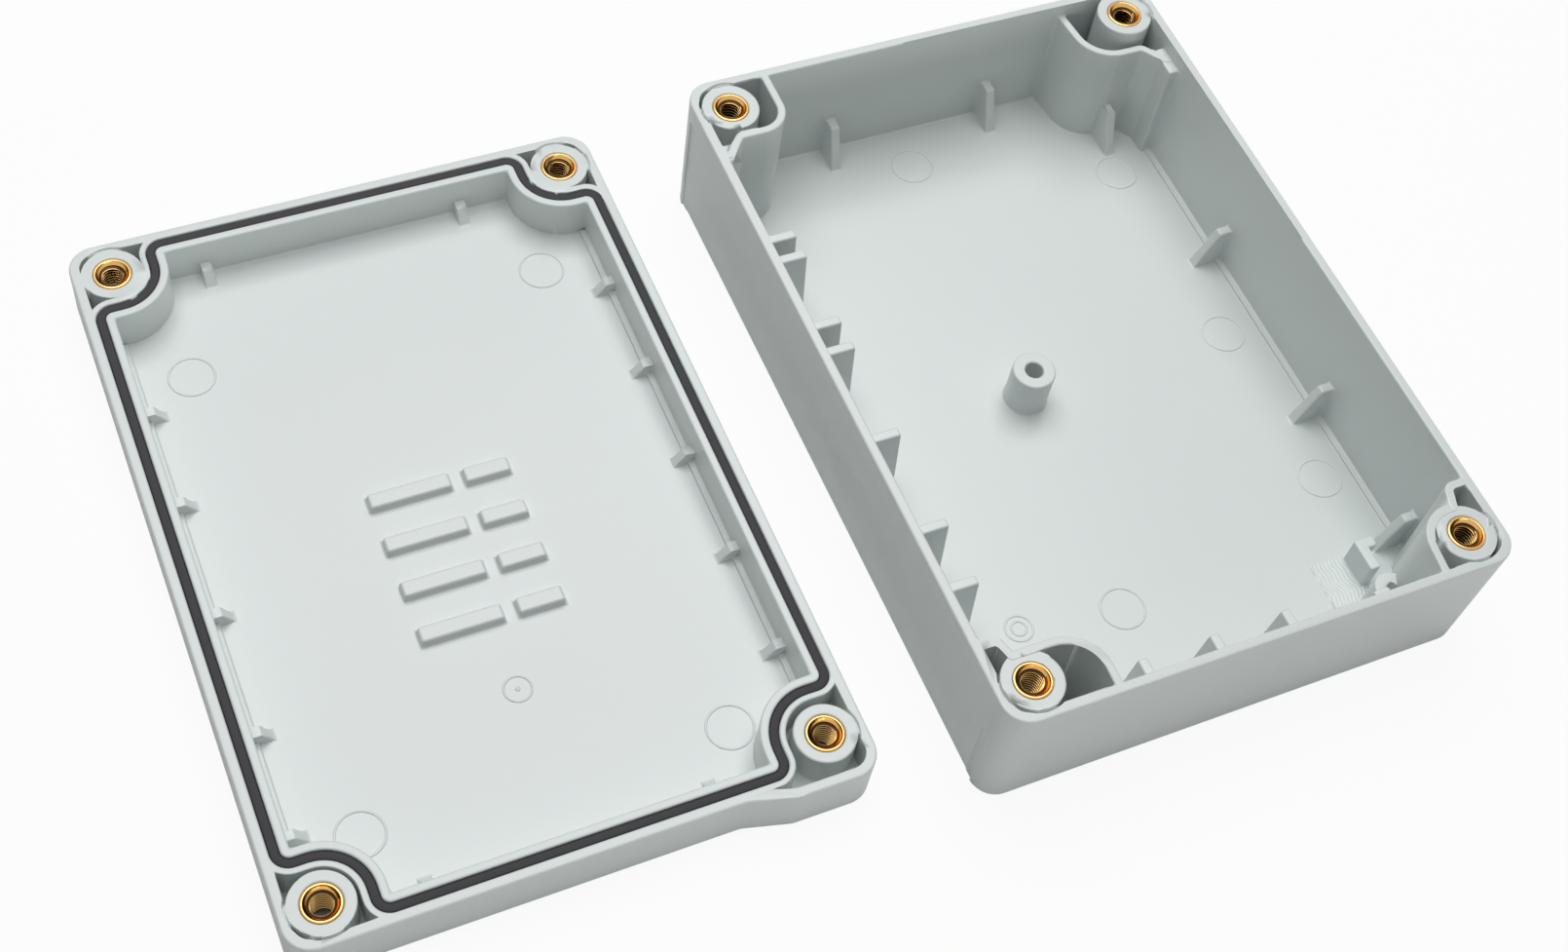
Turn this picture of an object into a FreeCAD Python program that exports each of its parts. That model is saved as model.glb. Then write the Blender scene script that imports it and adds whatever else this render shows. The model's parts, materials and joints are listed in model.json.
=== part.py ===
import FreeCAD, Part
import math
import os
import Sketcher

from FreeCAD import Placement, Rotation, Vector

# Sealed plastic housing, shown open: a deep base and a shallow lid lying side by side, open sides up.
# Lengths are in millimetres. Z is up and both halves stand on Z = 0. X runs across the pair, Y along it.
# Each half is drawn about its own middle and then placed.

document = FreeCAD.newDocument("sealed_housing")

# Driving dimensions: name, value, meaning.
DIMENSIONS = [
    ("shell_length", 200, "outside length of both halves at the rim"),
    ("shell_width", 140, "outside width of both halves at the rim"),
    ("corner_radius", 7, "outside corner radius at the rim"),
    ("base_height", 40, "height of the base"),
    ("lid_height", 15, "height of the lid"),
    ("halves_gap", 22, "free space between the two halves"),
    ("halves_stagger", 14, "how much further back the lid lies than the base"),
    ("screw_inset", 10, "from the outside faces to a corner boss axis"),
    ("base_wall", 2.6, "base wall at the rim"),
    ("base_floor", 3, "base floor"),
    ("base_draft", 0.7, "how much each outside face leans in over the base height"),
    ("band_height", 6, "plain band under the rim, above the side panels"),
    ("panel_depth", 0.4, "how far the side panels of the base are sunk"),
    ("boss_radius", 7.7, "corner boss radius"),
    ("boss_drop", 0.2, "boss top of the base below the rim"),
    ("well_wall", 2.2, "wall round each corner well of the base"),
    ("web_width", 2.5, "webs between bosses and walls"),
    ("web_drop", 0.9, "web top below the rim"),
    ("insert_radius", 4.75, "brass insert, outside"),
    ("insert_length", 10, "brass insert, length"),
    ("insert_bore_radius", 2.5, "threaded bore of an insert, at the thread crests"),
    ("insert_clearance", 0.05, "between an insert and its hole"),
    ("screw_space", 8, "depth of the hole below an insert of the base"),
    ("lid_screw_space", 1, "depth of the hole below an insert of the lid"),
    ("gusset_thickness", 3, "rib thickness at the foot"),
    ("gusset_draft", 0.15, "how much each rib side leans in"),
    ("low_gusset_height", 12.5, "ribs of the right and back walls"),
    ("low_gusset_foot", 9, "their length at the floor"),
    ("low_gusset_top", 3.6, "their length at the top"),
    ("left_gusset_height", 23, "ribs of the left wall"),
    ("left_gusset_foot", 15, "their length at the floor"),
    ("left_gusset_top", 13, "their length at the top"),
    ("front_gusset_height", 20, "ribs of the front wall"),
    ("front_gusset_foot", 12, "their length at the floor"),
    ("front_gusset_top", 10.4, "their length at the top"),
    ("standoff_across", -7.5, "standoff axis, across the base"),
    ("standoff_along", 1.5, "standoff axis, along the base"),
    ("standoff_height", 12.5, "standoff above the floor"),
    ("standoff_radius", 5.8, "standoff, outside"),
    ("standoff_hole_radius", 2.4, "pilot hole of the standoff"),
    ("standoff_hole_depth", 10, "depth of the pilot hole"),
    ("bead_width", 1.6, "bead along the foot of a wall"),
    ("bead_height", 0.9, "height of that bead"),
    ("clip_left", 20, "plate clip, from the right wall's outside face"),
    ("clip_back", 29, "plate clip, from the front wall's outside face"),
    ("clip_run", 9, "long arm of the clip"),
    ("clip_reach", 5.5, "short arm of the clip"),
    ("clip_height", 8.5, "height of the clip"),
    ("hook_radius", 4.4, "curved rib beside the clip, outside radius"),
    ("hook_from_wall", 22.6, "its axis, from the right wall's outside face"),
    ("hook_from_front", 11, "its axis, from the front wall's outside face"),
    ("hook_height", 16, "height of the curved rib"),
    ("block_from_wall", 33, "block on the front wall, left side, from the right wall's outside face"),
    ("block_width", 4.5, "width of that block"),
    ("block_reach", 8.5, "its back, from the front wall's outside face"),
    ("block_height", 24, "height of that block"),
    ("strip_reach", 5.5, "thick strips of the long walls behind the back wells, from the outside face"),
    ("strip_start", 22, "their back end, from the back wall's outside face"),
    ("left_strip_run", 6.5, "length of the left strip"),
    ("right_strip_run", 9, "length of the right strip"),
    ("well_rib_across", 55, "rib in front of the back right well, across the base"),
    ("well_rib_start", 21, "face that it stands on, from the back wall's outside face"),
    ("lid_floor", 3, "lid floor"),
    ("lid_rim_outer", 2.6, "wall outside the seal groove"),
    ("lid_rim_inner", 2.2, "wall inside the seal groove"),
    ("groove_width", 2.4, "seal groove"),
    ("groove_depth", 3, "depth of the seal groove"),
    ("groove_corner_wall", 1.6, "wall between the seal groove and a corner pocket"),
    ("seal_bend_radius", 3.3, "middle line of the seal where it leaves a wall"),
    ("seal_clearance", 0.1, "between the seal and each side of its groove"),
    ("seal_height", 2.6, "height of the seal"),
    ("pocket_floor", 5, "height of the bottom of the lid's corner pockets"),
    ("post_step", 3, "how far the front right post of the lid stands out"),
    ("post_run", 22, "length of that post along the front"),
    ("post_blend", 12, "length over which the step fades out"),
    ("bar_height", 2.4, "raised bars on the lid floor"),
    ("bar_width", 5.2, "width of a bar at its foot"),
    ("bar_draft", 0.5, "how much each side of a bar leans in"),
    ("bar_pitch", 13.2, "from one row of bars to the next"),
    ("bar_first_row", 10.2, "rearmost row, along the lid"),
    ("long_bar_length", 21.6, "long bars"),
    ("long_bar_across", -8, "middle of the long bars, across the lid"),
    ("short_bar_length", 12.4, "short bars"),
    ("short_bar_across", 12, "middle of the short bars, across the lid"),
    ("lid_gusset_height", 4.2, "ribs of the lid"),
    ("lid_gusset_foot", 6.2, "their length at the floor"),
    ("lid_gusset_top", 2.4, "their length at the top"),
]

# Where the ribs stand along each wall, from the middle of the half.
RIB_STATIONS = {
    "base_left_rib": (55.5, 48.5, 26, 17.5, -10.5, -38.5, -55.5),
    "base_left_low_rib": (65.5,),
    "base_right_rib": (27.5, -28.5, -71),
    "base_back_rib": (-24, 25),
    "base_front_rib": (-24.8, -4.8, 15.6),
    "lid_left_rib": (51.5, 23.5, -9, -42, -69),
    "lid_right_rib": (55, 27, -2, -32, -61),
    "lid_back_rib": (-36.3, 32.6),
    "lid_front_rib": (-36.3, 32.6),
}

# Corner: which side of the middle it is on, across and along.
CORNERS = {
    "front_left": (-1, -1),
    "front_right": (1, -1),
    "back_left": (-1, 1),
    "back_right": (1, 1),
}

# Corner wells of the base, each the outline of its hollow: distance from the long wall's outside face,
# distance from the short wall's outside face, corner rounding. The first and last points lie in the walls.
WELLS = {
    "front_left": ((1, 1, 0), (27.4, 1, 0), (27.4, 16.2, 9), (7.2, 16.2, 1.2), (5.8, 20.8, 1.2), (1, 20.8, 0)),
    "front_right": ((1, 1, 0), (20, 1, 0), (18.2, 16.3, 8), (8.5, 16.3, 1.5), (6.5, 22, 1.5), (1, 22, 0)),
    "back_left": ((1, 1, 0), (21.8, 1, 0), (21.8, 18.8, 6), (8, 18.8, 3), (3.4, 24, 0), (1, 24, 0)),
    "back_right": ((1, 1, 0), (24.4, 1, 0), (22.6, 18.8, 9), (8, 18.8, 3), (3.4, 25, 0), (1, 25, 0)),
}

# How far each well's wall stops below the rim.
WELL_DROPS = {"front_left": 0, "front_right": 0, "back_left": 0, "back_right": 4}

# Radius of the seal's bow round each boss of the lid, beyond the least that clears the boss.
SEAL_BOW_EXTRAS = {"front_left": 0.7, "front_right": 1.5, "back_left": 0, "back_right": 0}

MARGIN = 1  # by which cutters and buried feet overshoot a face


def fill_sheet():
    """The spreadsheet with every driving dimension and an alias for each."""
    table = document.addObject("Spreadsheet::Sheet", "sizes")
    rows = list(DIMENSIONS)
    for row_name, stations in RIB_STATIONS.items():
        for number, station in enumerate(stations, 1):
            rows.append((f"{row_name}_{number}", station, "rib position"))
    for corner, drop in WELL_DROPS.items():
        rows.append((f"well_drop_{corner}", drop, "well wall below the rim"))
    for corner, extra in SEAL_BOW_EXTRAS.items():
        rows.append((f"seal_bow_{corner}", extra, "extra radius of the seal round the boss"))
    for line, (alias, number, meaning) in enumerate(rows, 1):
        table.set(f"A{line}", str(number))
        table.setAlias(f"A{line}", alias)
        table.set(f"B{line}", meaning)
    document.recompute()
    return table


sheet = fill_sheet()


def size(alias):
    """One driving dimension as a number."""
    return float(sheet.get(alias))


def bind(item, expressions):
    """Ties properties of an object to cells of the sheet."""
    for name, expression in expressions.items():
        item.setExpression(name, expression)
    return item


def at(across, along, up):
    """Expressions for a position."""
    return {"Placement.Base.x": across, "Placement.Base.y": along, "Placement.Base.z": up}


def origin_plane(body, role):
    """One origin plane of a body."""
    return next(plane for plane in body.Origin.OriginFeatures if plane.Role == role)


def new_sketch(body, name, role, level="0"):
    """An empty sketch on an origin plane of its body, lifted to a level."""
    sketch = body.newObject("Sketcher::SketchObject", name)
    sketch.AttachmentSupport = [(origin_plane(body, role), "")]
    sketch.MapMode = "FlatFace"
    return bind(sketch, {"AttachmentOffset.Base.z": level})


def drive(sketch, constraint, expression):
    """Adds a constraint whose value comes from the sheet."""
    index = sketch.addConstraint(constraint)
    name = f"driven_{index}"
    sketch.renameConstraint(index, name)
    sketch.setExpression(f"Constraints.{name}", expression)


def draw_outline(sketch, inset, first_inset):
    """The shell's outside outline about the origin, moved in by an expression with its first value."""
    half_width = size("shell_width") / 2 - first_inset
    half_length = size("shell_length") / 2 - first_inset
    turn = size("corner_radius") - first_inset
    corners = ((1, -1), (1, 1), (-1, 1), (-1, -1))
    centres = [Vector(x * (half_width - turn), y * (half_length - turn), 0) for x, y in corners]
    for number in range(4):
        # Side from the corner before to this corner, going round from the front.
        before, here = centres[number - 1], centres[number]
        out = Vector(math.sin(number * math.pi / 2), -math.cos(number * math.pi / 2), 0) * turn
        sketch.addGeometry(Part.LineSegment(before + out, here + out))
    for number in range(4):
        circle = Part.Circle(centres[number], Vector(0, 0, 1), turn)
        start_angle = (number - 1) * math.pi / 2
        sketch.addGeometry(Part.ArcOfCircle(circle, start_angle, start_angle + math.pi / 2))
    for number in range(4):
        sketch.addConstraint(Sketcher.Constraint("Tangent", number, 2, 4 + number, 1))
        sketch.addConstraint(Sketcher.Constraint("Tangent", 4 + number, 2, (number + 1) % 4, 1))
    for number, kind in enumerate(("Horizontal", "Vertical", "Horizontal", "Vertical")):
        sketch.addConstraint(Sketcher.Constraint(kind, number))
    for number in range(5, 8):
        sketch.addConstraint(Sketcher.Constraint("Equal", 4, number))
    sketch.addConstraint(Sketcher.Constraint("Symmetric", 4, 3, 6, 3, -1, 1))
    drive(sketch, Sketcher.Constraint("Radius", 4, turn), f"sizes.corner_radius - {inset}")
    drive(sketch, Sketcher.Constraint("DistanceX", 3, 1, 1, 1, 2 * half_width),
          f"sizes.shell_width - 2 * {inset}")
    drive(sketch, Sketcher.Constraint("DistanceY", 0, 1, 2, 1, 2 * half_length),
          f"sizes.shell_length - 2 * {inset}")


def draw_polygon(sketch, corners):
    """A closed polygon whose corners are pairs of expressions with their first values."""
    points = [Vector(first_x, first_y, 0) for (_, first_x), (_, first_y) in corners]
    count = len(points)
    for number in range(count):
        sketch.addGeometry(Part.LineSegment(points[number], points[(number + 1) % count]))
    for number in range(count):
        sketch.addConstraint(Sketcher.Constraint("Coincident", number, 2, (number + 1) % count, 1))
    for number, ((across, first_x), (up, first_y)) in enumerate(corners):
        drive(sketch, Sketcher.Constraint("DistanceX", -1, 1, number, 1, first_x), across)
        drive(sketch, Sketcher.Constraint("DistanceY", -1, 1, number, 1, first_y), up)


def padded_block(name, inset, level, height, lean):
    """A body of one outline, moved in by a named size and padded upwards, wider towards the top by the lean."""
    body = document.addObject("PartDesign::Body", name)
    sketch = new_sketch(body, f"{name}_outline", "XY_Plane", level)
    draw_outline(sketch, f"sizes.{inset}", size(inset))
    pad = body.newObject("PartDesign::Pad", f"{name}_pad")
    pad.Profile = sketch
    bind(pad, {"Length": height, "TaperAngle": f"atan({lean})"})
    return body


def add_box(name, lengths, corner):
    """A box tied to the sheet: three lengths and its lowest corner."""
    box = document.addObject("Part::Box", name)
    bind(box, dict(zip(("Length", "Width", "Height"), lengths)))
    return bind(box, at(*corner))


def add_cylinder(name, radius, height, foot):
    """An upright cylinder tied to the sheet."""
    cylinder = document.addObject("Part::Cylinder", name)
    bind(cylinder, {"Radius": radius, "Height": height})
    return bind(cylinder, at(*foot))


def join(name, pieces):
    """Several solids as one."""
    fused = document.addObject("Part::MultiFuse", name)
    fused.Shapes = pieces
    fused.Refine = True
    return fused


def take(name, base, tool):
    """One solid less another."""
    cut = document.addObject("Part::Cut", name)
    cut.Base = base
    cut.Tool = tool
    cut.Refine = True
    return cut


def set_shape(name, shape):
    """A form made from wires, as an object of the document."""
    feature = document.addObject("Part::Feature", name)
    feature.Shape = shape
    return feature


def rounded_wire(corners):
    """A closed flat wire through corner points with a tangent arc at each: x, y, radius."""
    count = len(corners)
    spans = []
    for number, (x, y, radius) in enumerate(corners):
        point = Vector(x, y, 0)
        before = Vector(*corners[number - 1][:2], 0) - point
        after = Vector(*corners[(number + 1) % count][:2], 0) - point
        before.normalize()
        after.normalize()
        if radius <= 0:
            spans.append((point, None, point))
            continue
        half = before.getAngle(after) / 2
        reach = radius / math.tan(half)
        inward = before + after
        inward.normalize()
        middle = point + inward * (radius / math.sin(half) - radius)
        spans.append((point + before * reach, middle, point + after * reach))
    edges = []
    for number, (start, middle, end) in enumerate(spans):
        if middle is not None:
            edges.append(Part.Arc(start, middle, end).toShape())
        following = spans[(number + 1) % count][0]
        if end.distanceToPoint(following) > 1e-6:
            edges.append(Part.LineSegment(end, following).toShape())
    return Part.Wire(edges)


def upright(wire, bottom, top):
    """The solid between two heights inside a flat wire."""
    face = Part.Face(wire)
    face.translate(Vector(0, 0, bottom))
    return face.extrude(Vector(0, 0, top - bottom))


def corner_point(sides, from_long_wall, from_short_wall):
    """A point given by its distances from the outside faces at one corner."""
    across = sides[0] * (size("shell_width") / 2 - from_long_wall)
    along = sides[1] * (size("shell_length") / 2 - from_short_wall)
    return across, along


def boss_axis(sides):
    """Expressions for the axis of a corner boss."""
    return (
        f"{sides[0]} * (sizes.shell_width / 2 - sizes.screw_inset)",
        f"{sides[1]} * (sizes.shell_length / 2 - sizes.screw_inset)",
    )


# Height of the boss tops of each half.
BOSS_TOPS = {"base": "(sizes.base_height - sizes.boss_drop)", "lid": "sizes.lid_height"}

# Which way each wall's ribs point, and where the wall stands.
WALL_NORMALS = {
    "left": Vector(1, 0, 0),
    "right": Vector(-1, 0, 0),
    "back": Vector(0, -1, 0),
    "front": Vector(0, 1, 0),
}


def add_gusset(name, side, distance, station, kind, floor):
    """A rib on a wall: upright at the wall, leaning in at its end, thinner at the top."""
    inward = WALL_NORMALS[side]
    up = Vector(0, 0, 1)
    wedge = document.addObject("Part::Wedge", name)
    wedge.Placement = Placement(Vector(0, 0, 0), Rotation(inward, up, inward.cross(up), "XYZ"))
    bind(wedge, {
        "Xmin": f"-{MARGIN}",
        "X2min": f"-{MARGIN}",
        "Xmax": f"sizes.{kind}_gusset_foot",
        "X2max": f"sizes.{kind}_gusset_top",
        "Ymin": f"-{MARGIN}",
        "Ymax": f"sizes.{kind}_gusset_height",
        "Zmin": "-sizes.gusset_thickness / 2",
        "Zmax": "sizes.gusset_thickness / 2",
        "Z2min": "-sizes.gusset_thickness / 2 + sizes.gusset_draft",
        "Z2max": "sizes.gusset_thickness / 2 - sizes.gusset_draft",
    })
    wall = f"-{distance}" if side in ("left", "front") else distance
    place = (wall, station) if side in ("left", "right") else (station, wall)
    return bind(wedge, at(*place, floor))


def add_rib_row(row, side, distance, kind, floor):
    """All the ribs of one wall."""
    return [
        add_gusset(f"{row}_{number}", side, distance, f"sizes.{row}_{number}", kind, floor)
        for number in range(1, len(RIB_STATIONS[row]) + 1)
    ]


def boss_bore(name, sides, top, space):
    """The blind hole that an insert sits in, with free space below it for the screw's end."""
    depth = f"sizes.insert_length + {space}"
    return add_cylinder(name, "sizes.insert_radius + sizes.insert_clearance", f"{depth} + {MARGIN}",
                        (*boss_axis(sides), f"{top} - ({depth})"))


def place_half(item, side):
    """Moves one half to its place: the base is on the right and nearer, the lid on the left and further."""
    return bind(item, {
        "Placement.Base.x": f"{side} * (sizes.shell_width + sizes.halves_gap) / 2",
        "Placement.Base.y": f"{-side} * sizes.halves_stagger / 2",
    })


# The base.

def well_ring(corner, sides):
    """The wall of one corner well, standing on the floor."""
    hollow = rounded_wire([(*corner_point(sides, u, v), radius) for u, v, radius in WELLS[corner]])
    outside = hollow.makeOffset2D(size("well_wall"))
    bottom = size("base_floor") - MARGIN
    top = size("base_height") - size(f"well_drop_{corner}")
    inside_top = top + MARGIN
    return upright(outside, bottom, top).cut(upright(hollow, bottom - MARGIN, inside_top))


def base_corner(corner, sides):
    """Well wall, boss and webs of one corner of the base."""
    axis = boss_axis(sides)
    floor = f"sizes.base_floor - {MARGIN}"
    ring = set_shape(f"well_{corner}", well_ring(corner, sides))
    boss = add_cylinder(f"base_boss_{corner}", "sizes.boss_radius",
                        f"{BOSS_TOPS['base']} - ({floor})", (*axis, floor))
    web_height = f"sizes.base_height - sizes.web_drop - ({floor})"
    # Towards the long wall, then towards the short one.
    across_corner = axis[0] if sides[0] > 0 else f"{axis[0]} - sizes.screw_inset"
    along_corner = axis[1] if sides[1] > 0 else f"{axis[1]} - sizes.screw_inset"
    to_long_wall = add_box(f"long_web_{corner}", ("sizes.screw_inset", "sizes.web_width", web_height),
                           (across_corner, f"{axis[1]} - sizes.web_width / 2", floor))
    to_short_wall = add_box(f"short_web_{corner}", ("2 * sizes.web_width", "sizes.screw_inset", web_height),
                            (f"{axis[0]} - sizes.web_width", along_corner, floor))
    webs = [to_short_wall] if corner == "front_right" else [to_short_wall, to_long_wall]
    return [ring, boss, *webs]


def base_clip():
    """The L-shaped plate clip and the curved rib near the front right corner."""
    floor = f"sizes.base_floor - {MARGIN}"
    height = f"sizes.clip_height + {MARGIN}"
    left = "sizes.shell_width / 2 - sizes.clip_left"
    back = "-sizes.shell_length / 2 + sizes.clip_back"
    long_arm = add_box("clip_long_arm", ("sizes.gusset_thickness", "sizes.clip_run", height),
                       (left, f"{back} - sizes.clip_run", floor))
    short_arm = add_box("clip_short_arm", ("sizes.clip_reach", "sizes.gusset_thickness", height),
                        (left, f"{back} - sizes.gusset_thickness", floor))
    axis = ("sizes.shell_width / 2 - sizes.hook_from_wall", "-sizes.shell_length / 2 + sizes.hook_from_front")
    outside = add_cylinder("hook_outside", "sizes.hook_radius", f"sizes.hook_height + {MARGIN}", (*axis, floor))
    inside = add_cylinder("hook_inside", "sizes.hook_radius - sizes.gusset_thickness",
                          f"sizes.hook_height + 3 * {MARGIN}", (*axis, f"{floor} - {MARGIN}"))
    outside.Angle = inside.Angle = 180
    return [long_arm, short_arm, take("hook", outside, inside)]


def base_strips():
    """The block on the front wall and the thick strips of the long walls behind the back wells."""
    floor = f"sizes.base_floor - {MARGIN}"
    block = add_box("front_block", ("sizes.block_width", "sizes.block_reach", f"sizes.block_height + {MARGIN}"),
                    ("sizes.shell_width / 2 - sizes.block_from_wall", "-sizes.shell_length / 2", floor))
    strips = []
    for side, left, corner in (("left", "-sizes.shell_width / 2", "back_left"),
                               ("right", "sizes.shell_width / 2 - sizes.strip_reach", "back_right")):
        run = f"sizes.{side}_strip_run"
        top = f"sizes.base_height - sizes.boss_drop - sizes.well_drop_{corner}"
        strips.append(add_box(f"{side}_strip", ("sizes.strip_reach", run, f"{top} - ({floor})"),
                              (left, f"sizes.shell_length / 2 - sizes.strip_start - {run}", floor)))
    return [block, *strips]


def base_beads():
    """Low beads along the feet of the right and front walls."""
    floor = f"sizes.base_floor - {MARGIN}"
    height = f"sizes.bead_height + {MARGIN}"
    run = "sizes.shell_length - 2 * sizes.base_wall"
    span = "sizes.shell_width - 2 * sizes.base_wall"
    right = add_box("bead_right", ("sizes.bead_width", run, height),
                    (f"({span}) / 2 - sizes.bead_width", f"-({run}) / 2", floor))
    front = add_box("bead_front", (span, "sizes.bead_width", height),
                    (f"-({span}) / 2", f"-({run}) / 2", floor))
    return [right, front]


def side_panel(name, side):
    """The cutter of one sunk side panel, parallel to the drafted wall."""
    top = size("base_height") - size("band_height")
    lean = size("base_draft") / size("base_height")
    face_at_foot = size("shell_width") / 2 - size("base_draft") - size("panel_depth")
    half_run = size("shell_length") / 2 - size("corner_radius")
    outside = size("shell_width") / 2 + MARGIN
    profile = Part.makePolygon([
        Vector(side * (face_at_foot - lean * MARGIN), -half_run, -MARGIN),
        Vector(side * outside, -half_run, -MARGIN),
        Vector(side * outside, -half_run, top),
        Vector(side * (face_at_foot + lean * top), -half_run, top),
        Vector(side * (face_at_foot - lean * MARGIN), -half_run, -MARGIN),
    ])
    return set_shape(name, Part.Face(profile).extrude(Vector(0, 2 * half_run, 0)))


def build_base():
    """The base, one moulding."""
    floor = "sizes.base_floor"
    block = padded_block("base_block", "base_draft", "0", "sizes.base_height",
                         "sizes.base_draft / sizes.base_height")
    cavity = padded_block("base_cavity", "base_wall", floor, f"sizes.base_height - {floor} + {MARGIN}", "0")
    side_face = "(sizes.shell_width / 2 - sizes.base_wall)"
    end_face = "(sizes.shell_length / 2 - sizes.base_wall)"
    inner = []
    for corner, sides in CORNERS.items():
        inner += base_corner(corner, sides)
    inner += add_rib_row("base_left_rib", "left", side_face, "left", floor)
    inner += add_rib_row("base_left_low_rib", "left", side_face, "low", floor)
    inner += add_rib_row("base_front_rib", "front", end_face, "front", floor)
    inner += add_rib_row("base_right_rib", "right", side_face, "low", floor)
    inner += add_rib_row("base_back_rib", "back", end_face, "low", floor)
    inner.append(add_gusset("well_rib", "back", "(sizes.shell_length / 2 - sizes.well_rib_start)",
                            "sizes.well_rib_across", "low", floor))
    inner += base_clip()
    inner += base_strips()
    inner += base_beads()
    standoff_axis = ("sizes.standoff_across", "sizes.standoff_along")
    inner.append(add_cylinder("standoff", "sizes.standoff_radius", f"sizes.standoff_height + {MARGIN}",
                              (*standoff_axis, f"{floor} - {MARGIN}")))
    hollow = take("base_hollow", cavity, join("base_inner_work", inner))
    bores = [
        boss_bore(f"base_bore_{corner}", sides, BOSS_TOPS["base"], "sizes.screw_space")
        for corner, sides in CORNERS.items()
    ]
    bores.append(add_cylinder("standoff_hole", "sizes.standoff_hole_radius",
                              f"sizes.standoff_hole_depth + {MARGIN}",
                              (*standoff_axis, f"{floor} + sizes.standoff_height - sizes.standoff_hole_depth")))
    panels = [side_panel("panel_left", -1), side_panel("panel_right", 1)]
    shell = take("base_shell", block, join("base_cutters", [hollow, *bores, *panels]))
    return place_half(shell, 1)


# The lid.

def seal_corners():
    """Corners of the seal's middle line: along the walls, and in round each boss."""
    inset = size("lid_rim_outer") + size("groove_width") / 2
    bend = size("seal_bend_radius")
    least = size("boss_radius") + size("groove_corner_wall") + size("groove_width") / 2
    points = []
    for corner in ("front_left", "front_right", "back_right", "back_left"):
        sides = CORNERS[corner]
        bow = least + size(f"seal_bow_{corner}")
        deep = size("screw_inset") + bow
        turn = [(*corner_point(sides, inset, deep), bend),
                (*corner_point(sides, deep, deep), bow),
                (*corner_point(sides, deep, inset), bend)]
        if sides[0] * sides[1] < 0:
            turn.reverse()
        points += turn
    return points


def lid_outline():
    """The lid's outside at the rim, with the front right post standing out."""
    half_width = size("shell_width") / 2
    half_length = size("shell_length") / 2
    radius = size("corner_radius")
    front = -half_length - size("post_step")
    post_left = half_width - size("post_run")
    return rounded_wire([
        (-half_width, -half_length, radius),
        (post_left - size("post_blend"), -half_length, radius),
        (post_left, front, radius),
        (half_width, front, radius),
        (half_width, half_length, radius),
        (-half_width, half_length, radius),
    ])


def lid_pockets(seal, bottom, top):
    """The deep pockets beside the bosses, outside the seal groove."""
    inside_wall = upright(lid_outline().makeOffset2D(-size("lid_rim_outer")), bottom, top)
    groove_side = size("groove_width") / 2 + size("groove_corner_wall")
    sealed = upright(seal.makeOffset2D(groove_side), bottom - MARGIN, top + MARGIN)
    pockets = inside_wall.cut(sealed)
    for sides in CORNERS.values():
        centre = Vector(*corner_point(sides, size("screw_inset"), size("screw_inset")), bottom - MARGIN)
        boss = Part.makeCylinder(size("boss_radius"), top - bottom + 2 * MARGIN, centre)
        pockets = pockets.cut(boss)
    return pockets


def add_bar(name, length, across, row):
    """One raised bar with leaning sides."""
    bar = document.addObject("Part::Wedge", name)
    bar.Placement = Placement(Vector(0, 0, 0), Rotation(Vector(1, 0, 0), 90))
    bind(bar, {
        "Xmin": f"-{length} / 2",
        "Xmax": f"{length} / 2",
        "X2min": f"-{length} / 2 + sizes.bar_draft",
        "X2max": f"{length} / 2 - sizes.bar_draft",
        "Ymin": f"-{MARGIN}",
        "Ymax": "sizes.bar_height",
        "Zmin": "-sizes.bar_width / 2",
        "Zmax": "sizes.bar_width / 2",
        "Z2min": "-sizes.bar_width / 2 + sizes.bar_draft",
        "Z2max": "sizes.bar_width / 2 - sizes.bar_draft",
    })
    return bind(bar, at(across, f"sizes.bar_first_row - {row} * sizes.bar_pitch", "sizes.lid_floor"))


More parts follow.
